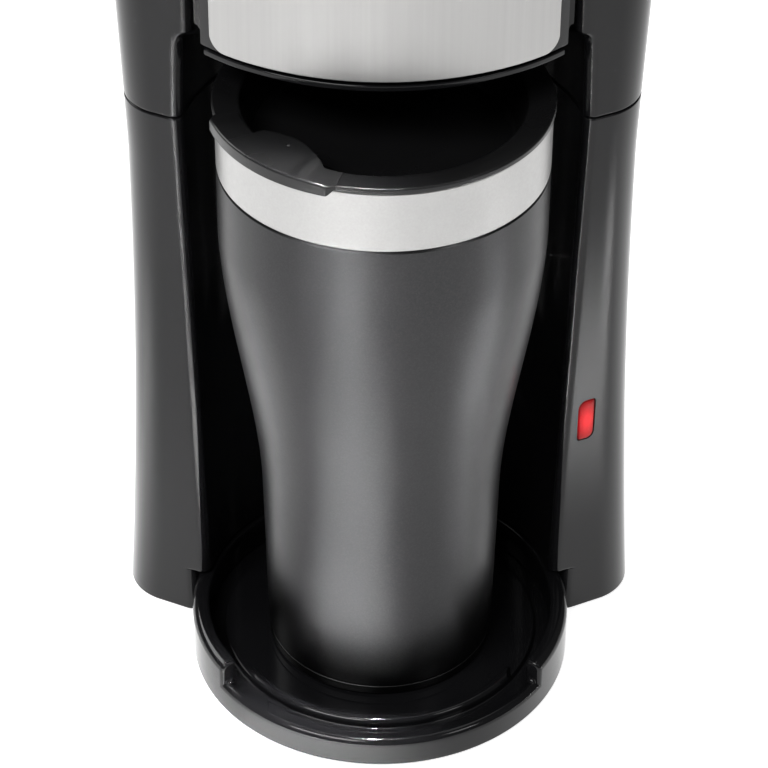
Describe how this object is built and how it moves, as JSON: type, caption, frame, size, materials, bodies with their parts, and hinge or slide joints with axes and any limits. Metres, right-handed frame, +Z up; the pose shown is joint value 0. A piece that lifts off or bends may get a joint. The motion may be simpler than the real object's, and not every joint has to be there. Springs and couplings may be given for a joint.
{
  "type": "drip coffee maker",
  "caption": "Drip coffee maker in glossy black that brews straight into the lidded travel mug standing in its bay, with a hinged top lid, inner filter basket and water tank.",
  "frame": {"origin": "under the middle of the whole machine, at table height", "axes": "+X to the right of someone facing the machine, +Y to its back, +Z up"},
  "size_m": [0.1506, 0.1838, 0.2834],
  "materials": {
    "glossy_black_plastic": "glossy black moulded plastic",
    "satin_black_plastic": "satin black moulded plastic",
    "inner_plastic": "dark grey moulded plastic",
    "reservoir_plastic": "milky moulded plastic",
    "brushed_steel_sheet": "upright brushed sheet",
    "bright_steel": "satin stainless steel",
    "zinc_steel": "zinc plated",
    "cast_alloy": "as cast",
    "gunmetal_coat": "satin metallic dark grey coat",
    "lid_plastic": "satin black moulded plastic",
    "black_rubber": "matt black",
    "silicone": "translucent silicone",
    "red_lens": "red tinted lens",
    "terminal_plastic": "cream moulded plastic",
    "red_insulation": "wire insulation",
    "blue_insulation": "wire insulation",
    "white_insulation": "wire insulation"
  },
  "bodies": {
    "housing": {"base_tray": "glossy_black_plastic", "brew_basket": "inner_plastic", "check_valve": "reservoir_plastic", "cord_gland": "black_rubber", "filter_mesh": "bright_steel", "filter_rim": "inner_plastic", "foot_front_left": "black_rubber", "foot_front_right": "black_rubber", "foot_rear_left": "black_rubber", "foot_rear_right": "black_rubber", "front_panel": "brushed_steel_sheet", "head_base": "glossy_black_plastic", "heater_body": "cast_alloy", "heater_inlet_tube": "cast_alloy", "heater_outlet_tube": "cast_alloy", "heater_strap": "zinc_steel", "hinge_pin_left": "zinc_steel", "hinge_pin_right": "zinc_steel", "hose_clip_reservoir": "zinc_steel", "hose_clip_riser": "zinc_steel", "hose_clip_valve_bottom": "zinc_steel", "hose_clip_valve_top": "zinc_steel", "indicator_lamp": "red_lens", "lower_housing": "glossy_black_plastic", "rear_bottom_plate": "satin_black_plastic", "rear_plate_screw_left": "zinc_steel", "rear_plate_screw_right": "zinc_steel", "reservoir": "reservoir_plastic", "reservoir_hose": "silicone", "riser_hose": "silicone", "shower_head": "inner_plastic", "spray_arm": "inner_plastic", "strap_screw_front": "zinc_steel", "strap_screw_rear": "zinc_steel", "switch_body": "inner_plastic", "terminal_block": "terminal_plastic", "thermal_fuse_front": "terminal_plastic", "thermal_fuse_rear": "terminal_plastic", "thermostat": "zinc_steel", "top_deck": "inner_plastic", "tray_bottom_cover": "satin_black_plastic", "tray_screw_left": "zinc_steel", "tray_screw_right": "zinc_steel", "upper_housing": "glossy_black_plastic", "valve_hose": "silicone", "wire_heater": "blue_insulation", "wire_supply": "white_insulation", "wire_switch": "red_insulation"},
    "mug": {"mug_body": "gunmetal_coat", "mug_collar": "bright_steel", "mug_liner": "bright_steel", "mug_base": "gunmetal_coat"},
    "mug_lid": {"mug_lid": "lid_plastic", "lid_gasket": "silicone"},
    "drink_slider": {"drink_slider": "lid_plastic"},
    "top_lid": {"top_lid": "glossy_black_plastic"},
    "power_button": {"power_button": "red_lens"},
    "valve_ball": {"valve_ball": "silicone"}
  },
  "joints": [
    {"name": "lid_hinge", "type": "hinge", "parent": "housing", "child": "top_lid", "pos_m": [0, 0.07977, 0.2802], "axis": [-1, 0, 0], "range_deg": [0, 95]},
    {"name": "mug_slide", "type": "slide", "parent": "housing", "child": "mug", "axis": [0, -0.9929, 0.1191], "range_m": [0, 0.15]},
    {"name": "mug_lid_lift", "type": "slide", "parent": "mug", "child": "mug_lid", "axis": [0, 0, 1], "range_m": [0, 0.009]},
    {"name": "drink_slider_turn", "type": "hinge", "parent": "mug_lid", "child": "drink_slider", "pos_m": [0, -0.03803, 0.19], "axis": [0, 0, 1], "range_deg": [0, 35]},
    {"name": "button_press", "type": "slide", "parent": "housing", "child": "power_button", "axis": [-0.4327, 0.9015, 0], "range_m": [0, 0.0015], "stiffness_N_per_m": 600},
    {"name": "valve_ball_lift", "type": "slide", "parent": "housing", "child": "valve_ball", "axis": [0, 0, 1], "range_m": [0, 0.003]}
  ]
}
